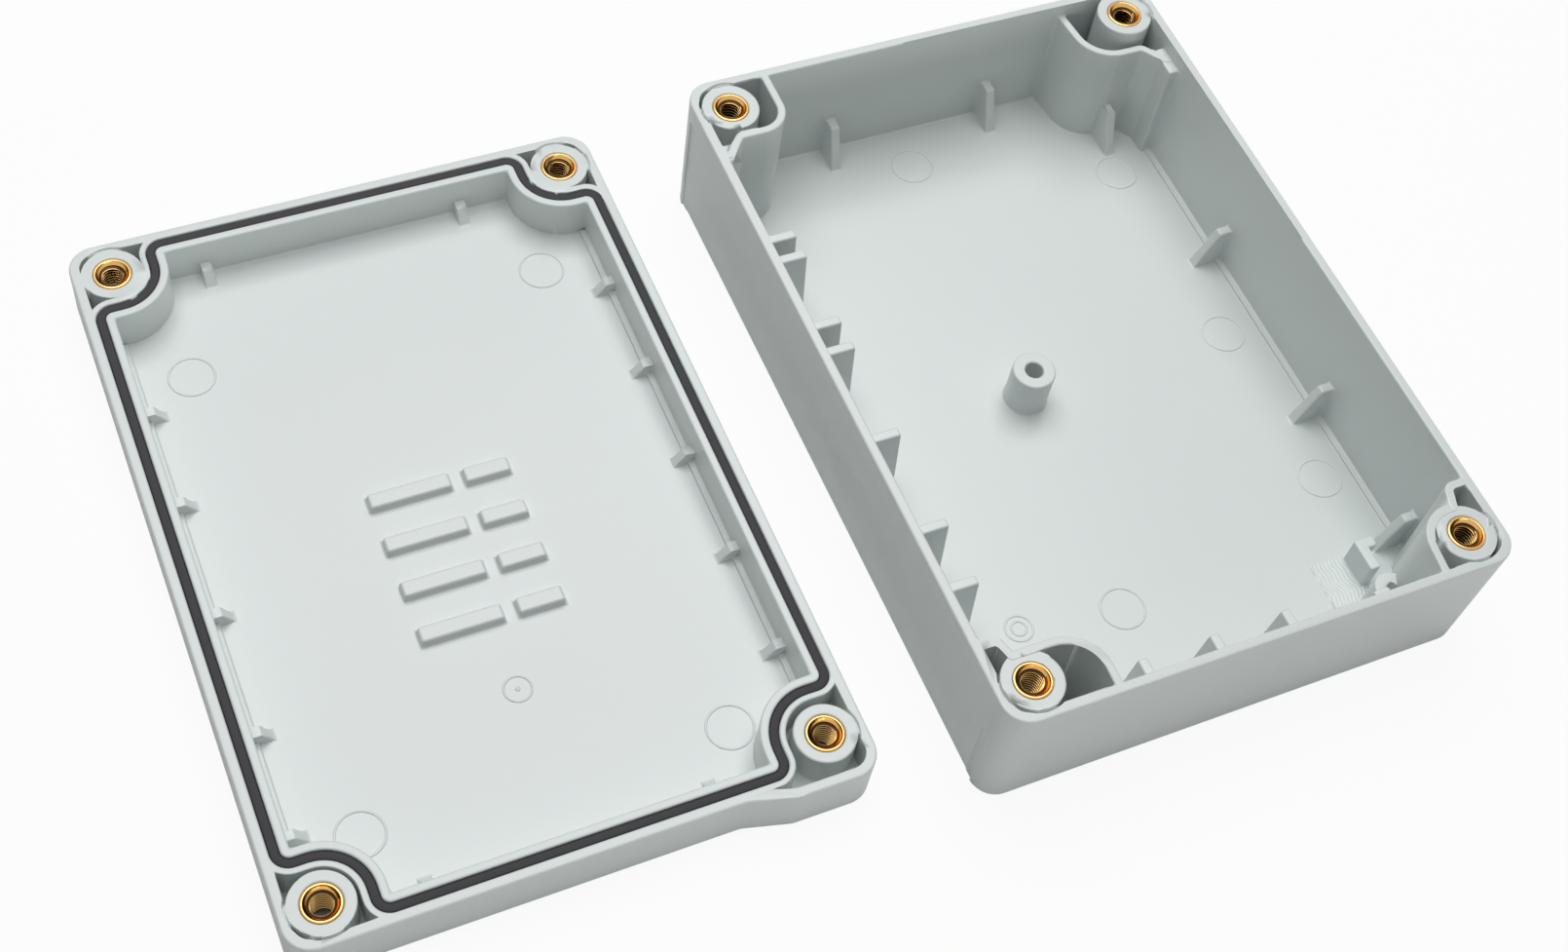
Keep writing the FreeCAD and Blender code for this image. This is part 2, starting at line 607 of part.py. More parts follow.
def build_lid():
    """The lid, one moulding, lying with its open side up."""
    floor = "sizes.lid_floor"
    height = size("lid_height")
    top = height + MARGIN
    seal = rounded_wire(seal_corners())
    half_groove = size("groove_width") / 2
    cavity_wire = seal.makeOffset2D(-half_groove - size("lid_rim_inner"))
    cavity = set_shape("lid_cavity", upright(cavity_wire, size("lid_floor"), top))
    groove_bottom = height - size("groove_depth")
    groove = set_shape("seal_groove", upright(seal.makeOffset2D(half_groove), groove_bottom, top).cut(
        upright(seal.makeOffset2D(-half_groove), groove_bottom - MARGIN, top + MARGIN)))
    pockets = set_shape("corner_pockets", lid_pockets(seal, size("pocket_floor"), top))
    rim_width = "(sizes.lid_rim_outer + sizes.groove_width + sizes.lid_rim_inner)"
    side_face = f"(sizes.shell_width / 2 - {rim_width})"
    end_face = f"(sizes.shell_length / 2 - {rim_width})"
    inner = add_rib_row("lid_left_rib", "left", side_face, "lid", floor)
    inner += add_rib_row("lid_right_rib", "right", side_face, "lid", floor)
    inner += add_rib_row("lid_back_rib", "back", end_face, "lid", floor)
    inner += add_rib_row("lid_front_rib", "front", end_face, "lid", floor)
    for row in range(4):
        inner.append(add_bar(f"long_bar_{row + 1}", "sizes.long_bar_length", "sizes.long_bar_across", row))
        inner.append(add_bar(f"short_bar_{row + 1}", "sizes.short_bar_length", "sizes.short_bar_across", row))
    run = "sizes.shell_length - 2 * (sizes.screw_inset + sizes.boss_radius) - 4 * sizes.seal_bend_radius"
    for side, sign in (("left", -1), ("right", 1)):
        edge = f"-{side_face} - {MARGIN}" if sign < 0 else f"{side_face} - sizes.bead_width"
        inner.append(add_box(f"lid_bead_{side}", (f"sizes.bead_width + {MARGIN}", run,
                                                  f"sizes.bead_height + {MARGIN}"),
                             (edge, f"-({run}) / 2", f"{floor} - {MARGIN}")))
    hollow = take("lid_hollow", cavity, join("lid_inner_work", inner))
    bores = [
        boss_bore(f"lid_bore_{corner}", sides, BOSS_TOPS["lid"], "sizes.lid_screw_space")
        for corner, sides in CORNERS.items()
    ]
    block = set_shape("lid_block", upright(lid_outline(), 0, height))
    shell = take("lid_shell", block, join("lid_cutters", [hollow, groove, pockets, *bores]))
    return place_half(shell, -1)


def build_seal():
    """The rubber ring that lies in the lid's groove."""
    seal = rounded_wire(seal_corners())
    half = size("groove_width") / 2 - size("seal_clearance")
    bottom = size("lid_height") - size("groove_depth")
    top = bottom + size("seal_height")
    ring = upright(seal.makeOffset2D(half), bottom, top).cut(
        upright(seal.makeOffset2D(-half), bottom - MARGIN, top + MARGIN))
    return place_half(set_shape("gasket", ring), -1)


def build_insert(name, sides, side, boss_top):
    """A brass insert, turned: plain outside and bore."""
    body = document.addObject("PartDesign::Body", name)
    sketch = new_sketch(body, f"{name}_profile", "XZ_Plane")
    bore = ("sizes.insert_bore_radius", size("insert_bore_radius"))
    outside = ("sizes.insert_radius", size("insert_radius"))
    foot = ("0", 0)
    top = ("sizes.insert_length", size("insert_length"))
    draw_polygon(sketch, [(bore, foot), (outside, foot), (outside, top), (bore, top)])
    turned = body.newObject("PartDesign::Revolution", f"{name}_turned")
    turned.Profile = sketch
    turned.ReferenceAxis = (sketch, ["V_Axis"])
    turned.Angle = 360
    axis = boss_axis(sides)
    return bind(body, at(
        f"{axis[0]} + {side} * (sizes.shell_width + sizes.halves_gap) / 2",
        f"{axis[1]} - {side} * sizes.halves_stagger / 2",
        f"{boss_top} - sizes.insert_length"))


def build_inserts(half, side):
    """The four inserts of one half, alike and separate, as one group."""
    group = document.addObject("Part::Compound", f"{half}_inserts")
    group.Links = [
        build_insert(f"{half}_insert_{corner}", sides, side, BOSS_TOPS[half])
        for corner, sides in CORNERS.items()
    ]
    return group


nodes = {
    "base_shell": build_base(),
    "lid_shell": build_lid(),
    "gasket": build_seal(),
    "base_inserts": build_inserts("base", 1),
    "lid_inserts": build_inserts("lid", -1),
}
for node, item in nodes.items():
    item.Label = node
document.recompute()

# Nothing is written unless every object is sound.
for item in document.Objects:
    if "Invalid" in item.State or "Error" in item.State:
        raise RuntimeError(f"{item.Name} did not build: {item.State}")
for node, item in nodes.items():
    expected = len(CORNERS) if node.endswith("inserts") else 1
    if item.Shape.isNull() or not item.Shape.isValid() or len(item.Shape.Solids) != expected:
        raise RuntimeError(f"{node} does not hold {expected} sound solids")

os.makedirs("parts", exist_ok=True)
for node, item in nodes.items():
    item.Shape.exportStep(f"parts/{node}.step")
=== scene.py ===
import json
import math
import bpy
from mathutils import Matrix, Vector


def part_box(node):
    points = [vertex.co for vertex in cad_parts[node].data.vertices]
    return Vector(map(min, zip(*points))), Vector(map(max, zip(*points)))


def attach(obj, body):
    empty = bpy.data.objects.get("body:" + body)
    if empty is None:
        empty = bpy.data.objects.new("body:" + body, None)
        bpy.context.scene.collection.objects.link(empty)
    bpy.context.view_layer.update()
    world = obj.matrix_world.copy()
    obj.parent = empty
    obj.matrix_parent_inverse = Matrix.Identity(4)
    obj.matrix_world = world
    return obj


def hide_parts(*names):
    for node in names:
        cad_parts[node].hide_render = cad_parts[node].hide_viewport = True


bl_info = {
    "name": "Sealed plastic housing",
    "version": (1, 0, 0),
    "blender": (4, 5, 0),
    "location": "3D View > Sidebar > Housing",
    "description": "Finishes the open housing: mouldings with soft edges, seal, brass inserts and studio",
    "category": "Object",
}

import bmesh
import bpy
from mathutils import Matrix, Vector, geometry
from mathutils.kdtree import KDTree

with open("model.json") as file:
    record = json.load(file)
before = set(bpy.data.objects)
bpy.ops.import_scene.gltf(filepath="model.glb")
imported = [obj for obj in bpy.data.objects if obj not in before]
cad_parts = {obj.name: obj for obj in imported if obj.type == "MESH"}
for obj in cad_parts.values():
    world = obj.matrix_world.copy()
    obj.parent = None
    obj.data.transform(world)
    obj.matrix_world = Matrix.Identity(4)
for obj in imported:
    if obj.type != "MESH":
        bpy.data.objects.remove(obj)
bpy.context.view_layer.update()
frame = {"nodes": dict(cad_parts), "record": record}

MM = 0.001
MERGE_DISTANCE = 1e-6
MOUNTS = {mount["name"]: mount for mount in frame["record"]["mounts"]}
BASE_MIDDLE = Vector((*MOUNTS["base_inserts"]["pos_m"][:2], 0))
LID_MIDDLE = Vector((*MOUNTS["lid_inserts"]["pos_m"][:2], 0))
BORE_SPACING = MOUNTS["base_inserts"]["dims"]
FLOOR_HEIGHT = 3 * MM

# Heights of the tops of the base's standoff, hook and ribs, in millimetres.
BASE_TOPS = (15.5, 19, 23, 26)
TOP_SLACK = 0.05
# The place of the lid's raised bars, from its middle, and heights above their feet, in millimetres.
BARS_ACROSS = (-24, 24)
BARS_ALONG = (-36, 18)
BAR_FOOT = 3.01
BAR_MIDDLE = 4
# Heights between which the tops of the lid's low ribs lie, in millimetres.
LID_RIB_TOPS = (7.1, 7.3)
LEVEL_SLACK = 0.01

# Angles that tell flat, straight, sharp and folded places apart.
FLAT_ANGLE = math.radians(0.6)
STRAIGHT_ANGLE = math.radians(178.5)
SHARP_ANGLE = math.radians(28)
FOLD_ANGLE = math.radians(125)
BLUNT_COSINE = -0.7

# Limits of the rounding: the room that a radius needs, and the share of an edge that it may take.
ROOM_PER_RADIUS = 2.6
EDGE_SHARE = 0.45
SMALLEST_RADIUS = 0.06 * MM
SAMPLE_STEP = 0.5 * MM
END_LENGTH = 1.5 * MM
# Each lowering of a radius goes slightly below its limit, for so many turns at most.
EASE = 0.98
FITTING_TURNS = 60

# Limits of the mending: the reach round a fold, and the sizes of faulty and of small faces.
FOLD_REACH = 1.2 * MM
SHORTEST_FOLD = 0.01 * MM
AREA_FAULT = 0.2 * MM * MM
SMALL_FACE = 2 * MM * MM
CALMING_SHARES = (0.5, 0, 0, 0, 0)

# The ledge of a boss reaches so far to either side of its outward diagonal.
LEDGE_SWEEP = math.radians(76)
LEDGE_STEPS = 32
LEDGE_SHARP_ANGLE = math.radians(42)

# The rings of the ejector pins, in millimetres, and the parts that a turn of thread is made of.
EJECTOR_RADIUS = 5.8
THREAD_STEPS = 32

# The ground lies so far below the housing, and the camera sees this share of it as plain white.
GROUND_DROP = 0.0001
GROUND_WHITE = 0.92

# Where the photograph's camera stands, in metres: columns are right, up and back.
CAMERA_PLACE = Matrix((
    (0.91230, 0.26976, -0.30812, -0.17216),
    (-0.39122, 0.79651, -0.46099, -0.26879),
    (0.12106, 0.54111, 0.83220, 0.47419),
    (0.00000, 0.00000, 0.00000, 1.00000)
))


# Settings

class MouldingSettings(bpy.types.PropertyGroup):
    """Edges and finish of the two mouldings."""
    edge_radius: bpy.props.FloatProperty(
        name="Edge radius", description="Rounding of edges and wall feet",
        default=0.00055, unit="LENGTH")
    top_radius: bpy.props.FloatProperty(
        name="Top radius", description="Rounding of the tops of ribs, bars and the standoff",
        default=0.0006, unit="LENGTH")
    ledge_radius: bpy.props.FloatProperty(
        name="Ledge radius", description="Inner radius of the slim ledge round each corner boss",
        default=0.0078, unit="LENGTH")
    ledge_width: bpy.props.FloatProperty(
        name="Ledge width", description="Width of the ledge between a boss and its corner",
        default=0.0007, unit="LENGTH")
    ledge_depth: bpy.props.FloatProperty(
        name="Ledge depth", description="Depth of the ledge below the rim",
        default=0.0013, unit="LENGTH")
    bar_radius: bpy.props.FloatProperty(
        name="Bar corner radius", description="Rounding of the upright edges of the raised bars",
        default=0.0013, unit="LENGTH")
    plastic: bpy.props.FloatVectorProperty(
        name="Plastic", description="Colour of the moulded plastic",
        subtype="COLOR", size=4, min=0, max=1, default=(0.655, 0.7, 0.69, 1))


class InsertSettings(bpy.types.PropertyGroup):
    """Sizes and finish of the brass inserts, and the painted shade of their threads."""
    bore_radius: bpy.props.FloatProperty(
        name="Thread root radius", description="Radius at the bottom of the thread",
        default=0.0034, unit="LENGTH")
    crest_radius: bpy.props.FloatProperty(
        name="Thread crest radius", description="Radius at the crest of the thread",
        default=0.0027, unit="LENGTH")
    pitch: bpy.props.FloatProperty(
        name="Thread pitch", description="Rise of the thread in one turn",
        default=0.001, unit="LENGTH")
    mouth_radius: bpy.props.FloatProperty(
        name="Mouth radius", description="Countersunk mouth at the face of the insert",
        default=0.0041, unit="LENGTH")
    # Painted shade: this near-black brass on the thread's flanks and root stands in for the shade deep in
    # the bores.
    thread_painted_shade: bpy.props.FloatVectorProperty(
        name="Thread brass", description="Colour of the cut thread, darker than the turned face",
        subtype="COLOR", size=4, min=0, max=1, default=(0.05, 0.026, 0.009, 1))
    brass: bpy.props.FloatVectorProperty(
        name="Brass", description="Colour of the inserts",
        subtype="COLOR", size=4, min=0, max=1, default=(0.66, 0.4, 0.14, 1))


class SealSettings(bpy.types.PropertyGroup):
    """Finish of the sealing ring."""
    edge_radius: bpy.props.FloatProperty(
        name="Edge radius", description="Rounding of the seal's edges",
        default=0.0006, unit="LENGTH")
    rubber: bpy.props.FloatVectorProperty(
        name="Rubber", description="Colour of the seal",
        subtype="COLOR", size=4, min=0, max=1, default=(0.03, 0.03, 0.033, 1))


class MarkSettings(bpy.types.PropertyGroup):
    """Ejector and gate marks on the floors, and the grained patch of the base."""
    line_width: bpy.props.FloatProperty(
        name="Line width", description="Width of the raised lines",
        default=0.0007, unit="LENGTH")
    line_height: bpy.props.FloatProperty(
        name="Line height", description="Height of the raised lines above the floor",
        default=0.00025, unit="LENGTH")
    grain_pitch: bpy.props.FloatProperty(
        name="Grain pitch", description="Distance from one ridge of the grained patch to the next",
        default=0.0011, unit="LENGTH")


class StageSettings(bpy.types.PropertyGroup):
    """Camera, ground and lamps."""
    lens: bpy.props.FloatProperty(
        name="Focal length", description="Focal length of the camera in millimetres",
        default=50.77)
    key_power: bpy.props.FloatProperty(
        name="Key light", description="Power of the large lamp above", default=10.8, unit="POWER")
    fill_power: bpy.props.FloatProperty(
        name="Front light", description="Power of the low lamp in front", default=2.6, unit="POWER")
    sky: bpy.props.FloatProperty(
        name="Sky", description="Strength of the even light from all round", default=0.17)


# Materials

def add_node(tree, kind, place, **values):
    """A node at a place in its tree, with its plain values set."""
    node = tree.nodes.new(kind)
    node.location = place
    for name, value in values.items():
        setattr(node, name, value)
    return node


def new_group(name, inputs, outputs):
    """An empty shader node group with named sockets: name, socket type, default."""
    group = bpy.data.node_groups.new(name, "ShaderNodeTree")
    for socket_name, kind, default in inputs:
        socket = group.interface.new_socket(socket_name, in_out="INPUT", socket_type=kind)
        socket.default_value = default
    for socket_name, kind in outputs:
        group.interface.new_socket(socket_name, in_out="OUTPUT", socket_type=kind)
    entry = add_node(group, "NodeGroupInput", (-900, 0))
    leave = add_node(group, "NodeGroupOutput", (600, 0))
    return group, entry, leave


def mould_grain_group():
    """Fine spark-eroded grain of a mould: a height, a roughness and a slow change of shade."""
    group, entry, leave = new_group(
        "mould_grain",
        [("Grain size", "NodeSocketFloat", 3500.0),
         ("Roughness", "NodeSocketFloat", 0.5),
         ("Roughness change", "NodeSocketFloat", 0.06),
         ("Color", "NodeSocketColor", (0.6, 0.6, 0.6, 1)),
         ("Shade change", "NodeSocketFloat", 0.04)],
        [("Height", "NodeSocketFloat"), ("Roughness", "NodeSocketFloat"), ("Color", "NodeSocketColor")])
    place = add_node(group, "ShaderNodeTexCoord", (-900, 300))
    grain = add_node(group, "ShaderNodeTexNoise", (-650, 300), noise_dimensions="3D")
    grain.inputs["Detail"].default_value = 3
    cloud = add_node(group, "ShaderNodeTexNoise", (-650, -50), noise_dimensions="3D")
    cloud.inputs["Scale"].default_value = 22
    cloud.inputs["Detail"].default_value = 2
    links = group.links
    links.new(place.outputs["Object"], grain.inputs["Vector"])
    links.new(place.outputs["Object"], cloud.inputs["Vector"])
    links.new(entry.outputs["Grain size"], grain.inputs["Scale"])
    links.new(grain.outputs["Fac"], leave.inputs["Height"])
    spread = add_node(group, "ShaderNodeMath", (-400, 0), operation="SUBTRACT")
    spread.inputs[1].default_value = 0.5
    links.new(cloud.outputs["Fac"], spread.inputs[0])
    rough = add_node(group, "ShaderNodeMath", (-150, 100), operation="MULTIPLY_ADD")
    links.new(spread.outputs[0], rough.inputs[0])
    links.new(entry.outputs["Roughness change"], rough.inputs[1])
    links.new(entry.outputs["Roughness"], rough.inputs[2])
    links.new(rough.outputs[0], leave.inputs["Roughness"])
    shade = add_node(group, "ShaderNodeMath", (-150, -100), operation="MULTIPLY_ADD")
    links.new(spread.outputs[0], shade.inputs[0])
    links.new(entry.outputs["Shade change"], shade.inputs[1])
    shade.inputs[2].default_value = 1
    tint = add_node(group, "ShaderNodeVectorMath", (100, -100), operation="SCALE")
    links.new(entry.outputs["Color"], tint.inputs[0])
    links.new(shade.outputs[0], tint.inputs["Scale"])
    links.new(tint.outputs[0], leave.inputs["Color"])
    return group


def finished_material(name, color, roughness, grain_size, bump, metallic):
    """A material on the shared grain group, plastic or metal."""
    material = bpy.data.materials.new(name)
    material.use_nodes = True
    tree = material.node_tree
    surface = tree.nodes["Principled BSDF"]
    surface.inputs["Metallic"].default_value = metallic
    grain = add_node(tree, "ShaderNodeGroup", (-700, 100))
    grain.node_tree = bpy.data.node_groups["mould_grain"]
    grain.inputs["Grain size"].default_value = grain_size
    grain.inputs["Roughness"].default_value = roughness
    grain.inputs["Color"].default_value = color
    relief = add_node(tree, "ShaderNodeBump", (-300, -200))
    relief.inputs["Strength"].default_value = bump
    relief.inputs["Distance"].default_value = 0.00005
    tree.links.new(grain.outputs["Height"], relief.inputs["Height"])
    tree.links.new(relief.outputs["Normal"], surface.inputs["Normal"])
    tree.links.new(grain.outputs["Roughness"], surface.inputs["Roughness"])
    tree.links.new(grain.outputs["Color"], surface.inputs["Base Color"])
    return material


def make_materials():
    """The plastic, the rubber, the brass and a near-black brass that is painted shade for the threaded
    bores.
    """
    scene = bpy.context.scene
    mould_grain_group()
    finished_material("satin_plastic", scene.housing_moulding.plastic,
                      roughness=0.33, grain_size=2600, bump=0.2, metallic=0)
    finished_material("seal_rubber", scene.housing_seal.rubber,
                      roughness=0.5, grain_size=1800, bump=0.2, metallic=0)
    finished_material("turned_brass", scene.housing_insert.brass,
                      roughness=0.2, grain_size=900, bump=0.05, metallic=1)
    # Painted shade: the near-black brass darkens the threads of the bores.
    finished_material("brass_painted_shade", scene.housing_insert.thread_painted_shade,
                      roughness=0.35, grain_size=900, bump=0.05, metallic=1)


# Mesh tools

def add_piece(name, mesh_builder, material, sharp_angle=40):
    """A finished bmesh as a piece of the housing that rides on its body."""
    mesh = bpy.data.meshes.new(name)
    mesh_builder.to_mesh(mesh)
    mesh_builder.free()
    for polygon in mesh.polygons:
        polygon.use_smooth = True
    if sharp_angle:
        mesh.set_sharp_from_angle(angle=math.radians(sharp_angle))
    piece = bpy.data.objects.new(name, mesh)
    bpy.context.scene.collection.objects.link(piece)
    mesh.materials.append(bpy.data.materials[material])
    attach(piece, "root")
    return piece


def merged_copy(node):
    """A bmesh of a CAD node, its triangles joined and its flat faces made whole."""
    copy = bmesh.new()
    copy.from_mesh(frame["nodes"][node].data)
    bmesh.ops.remove_doubles(copy, verts=copy.verts, dist=MERGE_DISTANCE)
    bmesh.ops.dissolve_limit(copy, angle_limit=FLAT_ANGLE, verts=copy.verts, edges=copy.edges)
    return copy


def sharp_edges(copy):
    """Edges between faces that meet at more than the sharp angle."""
    return [edge for edge in copy.edges
            if edge.is_manifold and edge.calc_face_angle() > SHARP_ANGLE]


def cut_faces(copy, across, along):
    """Cuts all faces at places across and along the pair, so that flat faces have no holes."""
    for axis, places in ((0, across), (1, along)):
        normal = Vector((1, 0, 0)) if axis == 0 else Vector((0, 1, 0))
        for place in places:
            bmesh.ops.bisect_plane(copy, geom=[*copy.verts, *copy.edges, *copy.faces],
                                   dist=MERGE_DISTANCE, plane_co=normal * place, plane_no=normal)


def edge_samples(edge):
    """Points along an edge about a sample step apart."""
    first, last = (vertex.co for vertex in edge.verts)
    count = max(1, round((last - first).length / SAMPLE_STEP))
    return [first.lerp(last, (number + 0.5) / count) for number in range(count)]


def room_beside(edges, reach):
    """How far each edge is, sideways, from the nearest edge that it doesn't touch, up to the reach."""
    owners = []
    points = []
    for edge in edges:
        for point in edge_samples(edge):
            owners.append(edge)
            points.append(point)
    tree = KDTree(len(points))
    for number, point in enumerate(points):
        tree.insert(point, number)
    tree.balance()
    room = {edge: reach for edge in edges}
    for edge, point in zip(owners, points):
        along = (edge.verts[1].co - edge.verts[0].co).normalized()
        for found, number, distance in tree.find_range(point, room[edge]):
            other = owners[number]
            touching = other.verts[0] in edge.verts or other.verts[1] in edge.verts
            sideways = abs((found - point).dot(along)) < 0.5 * distance
            if not touching and sideways and distance < room[edge]:
                room[edge] = distance
    return room


def split_ends(copy, edges):
    """Splits long straight edges near both ends, so that the middle keeps its own radius."""
    for edge in edges:
        length = edge.calc_length()
        if length > 3 * END_LENGTH:
            first, last = edge.verts
            middle = bmesh.utils.edge_split(edge, first, END_LENGTH / length)[1]
            rest = next(part for part in middle.link_edges if last in part.verts)
            bmesh.utils.edge_split(rest, last, END_LENGTH / rest.calc_length())


def face_corners(copy, radii):
    """Corners of faces at rounded edges: two edges, their cosine and sine, and the room on each."""
    corners = []
    for face in copy.faces:
        for loop in face.loops:
            before, after = loop.link_loop_prev.edge, loop.edge
            if before not in radii and after not in radii:
                continue
            ways = [edge.other_vert(loop.vert).co - loop.vert.co for edge in (before, after)]
            angle = ways[0].angle(ways[1])
            if angle < STRAIGHT_ANGLE:
                corners.append((before, after, math.cos(angle), math.sin(angle),
                                EDGE_SHARE * ways[0].length, EDGE_SHARE * ways[1].length))
    return corners


def fit_radii(copy, radii):
    """Lowers radii until no two of a face corner meet beyond the middle of an edge."""
    corners = face_corners(copy, radii)
    slack, least = 1e-7, 1e-9
    for turn in range(FITTING_TURNS):
        changed = False
        for before, after, cosine, sine, room_before, room_after in corners:
            first, second = radii.get(before, 0), radii.get(after, 0)
            reach_before = abs(second + first * cosine)
            reach_after = abs(first + second * cosine)
            if reach_before <= room_before * sine + slack and reach_after <= room_after * sine + slack:
                continue
            changed = True
            if cosine < BLUNT_COSINE:
                step = min(room_before, room_after) * sine
                if first > second:
                    radii[before] = min(first, second + step) * EASE
                else:
                    radii[after] = min(second, first + step) * EASE
            else:
                share = EASE * min(room_before * sine / max(reach_before, least),
                                   room_after * sine / max(reach_after, least))
                if before in radii:
                    radii[before] = first * share
                if after in radii:
                    radii[after] = second * share
        if not changed:
            break


def round_by_room(copy, wanted, largest):
    """Gives each sharp edge a bevel weight: the radius wanted there, as far as there is room."""
    weights = copy.edges.layers.float.new("bevel_weight_edge")
    split_ends(copy, sharp_edges(copy))
    edges = sharp_edges(copy)
    room = room_beside(edges, ROOM_PER_RADIUS * largest)
    radii = {edge: min(wanted(edge), room[edge] / ROOM_PER_RADIUS) for edge in edges}
    fit_radii(copy, radii)
    for edge, radius in radii.items():
        if radius < SMALLEST_RADIUS:
            edge.smooth = False
        else:
            edge[weights] = radius / largest


def crossing_corners(face):
    """Corners of a face that lie nearest to where its outline crosses itself."""
    flat = face.normal.to_track_quat("Z", "Y").to_matrix().inverted()
    points = [(flat @ vertex.co).xy for vertex in face.verts]
    count = len(points)
    corners = []
    for first in range(count):
        for second in range(first + 2, count):
            crossing = geometry.intersect_line_line_2d(
                points[first], points[first + 1], points[second], points[(second + 1) % count])
            if crossing and (first or second < count - 1):
                nearest = min(range(count), key=lambda number: (points[number] - crossing).length)
                corners.append(face.verts[nearest].co.copy())
    return corners


def folded_places(piece):
    """Places where the rounded surface of a piece turns back on itself or a face crosses itself."""
    surface = piece.evaluated_get(bpy.context.evaluated_depsgraph_get()).to_mesh()
    result = bmesh.new()
    result.from_mesh(surface)
    places = [(edge.verts[0].co + edge.verts[1].co) / 2 for edge in result.edges
              if edge.is_manifold and edge.calc_length() > SHORTEST_FOLD
              and edge.calc_face_angle(0) > FOLD_ANGLE]
    areas = [0] * len(result.faces)
    for triangle in result.calc_loop_triangles():
        first, second, third = (loop.vert.co for loop in triangle)
        areas[triangle[0].face.index] += (second - first).cross(third - first).length / 2
    for face in result.faces:
        if abs(areas[face.index] - face.calc_area()) > AREA_FAULT:
            small = face.calc_area() < SMALL_FACE
            places += crossing_corners(face) or [vertex.co.copy() for vertex in face.verts if small]
    result.free()
    return places


def calm_rounding(piece, radius):
    """Halves the rounding near folded places once and then takes it off there, until none is left."""
    for share in CALMING_SHARES:
        places = folded_places(piece)
        if not places:
            break
        tree = KDTree(len(places))
        for number, place in enumerate(places):
            tree.insert(place, number)
        tree.balance()
        copy = bmesh.new()
        copy.from_mesh(piece.data)
        weights = copy.edges.layers.float["bevel_weight_edge"]
        for edge in copy.edges:
            if edge[weights] and any(tree.find(point)[2] < FOLD_REACH for point in edge_samples(edge)):
                edge[weights] *= share
                if edge[weights] * radius < SMALLEST_RADIUS:
                    edge[weights] = 0
                    edge.smooth = False
        copy.to_mesh(piece.data)
        copy.free()


def round_edges(copy, edges, radius, segments):
    """Bevels edges of a bmesh."""
    bmesh.ops.bevel(copy, geom=edges, offset=radius, offset_type="OFFSET", segments=segments,
                    profile=0.5, affect="EDGES", clamp_overlap=True, material=-1, loop_slide=True)


def spun_ring(builder, profile, centre, steps=48):
    """A closed outline of radius and height pairs, turned about an upright axis."""
    corners = [builder.verts.new(centre + Vector((radius, 0, height))) for radius, height in profile]
    outline = [builder.edges.new((corners[number - 1], corners[number])) for number in range(len(corners))]
    bmesh.ops.spin(builder, geom=corners + outline, cent=centre, axis=(0, 0, 1), angle=2 * math.pi,
                   steps=steps, use_merge=True)


def cut_ledges(piece, axes, inner, width, depth):
    """Cuts a slim ledge on the outer side of each boss axis, and keeps the result as the piece's mesh."""
    builder = bmesh.new()
    outer = inner + width
    for axis, outward in axes:
        turn = Matrix.Rotation(math.atan2(outward.y, outward.x) - LEDGE_SWEEP, 4, "Z")
        corners = [builder.verts.new(axis + turn @ Vector((radius, 0, height)))
                   for radius, height in ((inner, -depth), (outer, -depth), (outer, MM), (inner, MM))]
        bmesh.ops.spin(builder, geom=[builder.faces.new(corners)], cent=axis, axis=(0, 0, 1),
                       angle=2 * LEDGE_SWEEP, steps=LEDGE_STEPS, use_merge=False)
    bmesh.ops.recalc_face_normals(builder, faces=builder.faces)
    mesh = bpy.data.meshes.new("ledge_cutter")
    builder.to_mesh(mesh)
    builder.free()
    cutter = bpy.data.objects.new("ledge_cutter", mesh)
    bpy.context.scene.collection.objects.link(cutter)
    cut = piece.modifiers.new("ledges", "BOOLEAN")
    cut.operation = "DIFFERENCE"
    cut.solver = "EXACT"
    cut.object = cutter
    finished = bpy.data.meshes.new_from_object(piece.evaluated_get(bpy.context.evaluated_depsgraph_get()))
    finished.set_sharp_from_angle(angle=LEDGE_SHARP_ANGLE)
    uncut = piece.data
    piece.modifiers.clear()
    piece.data = finished
    bpy.data.objects.remove(cutter)
    for spent in (mesh, uncut):
        bpy.data.meshes.remove(spent)
    finished.name = piece.name


# Pieces

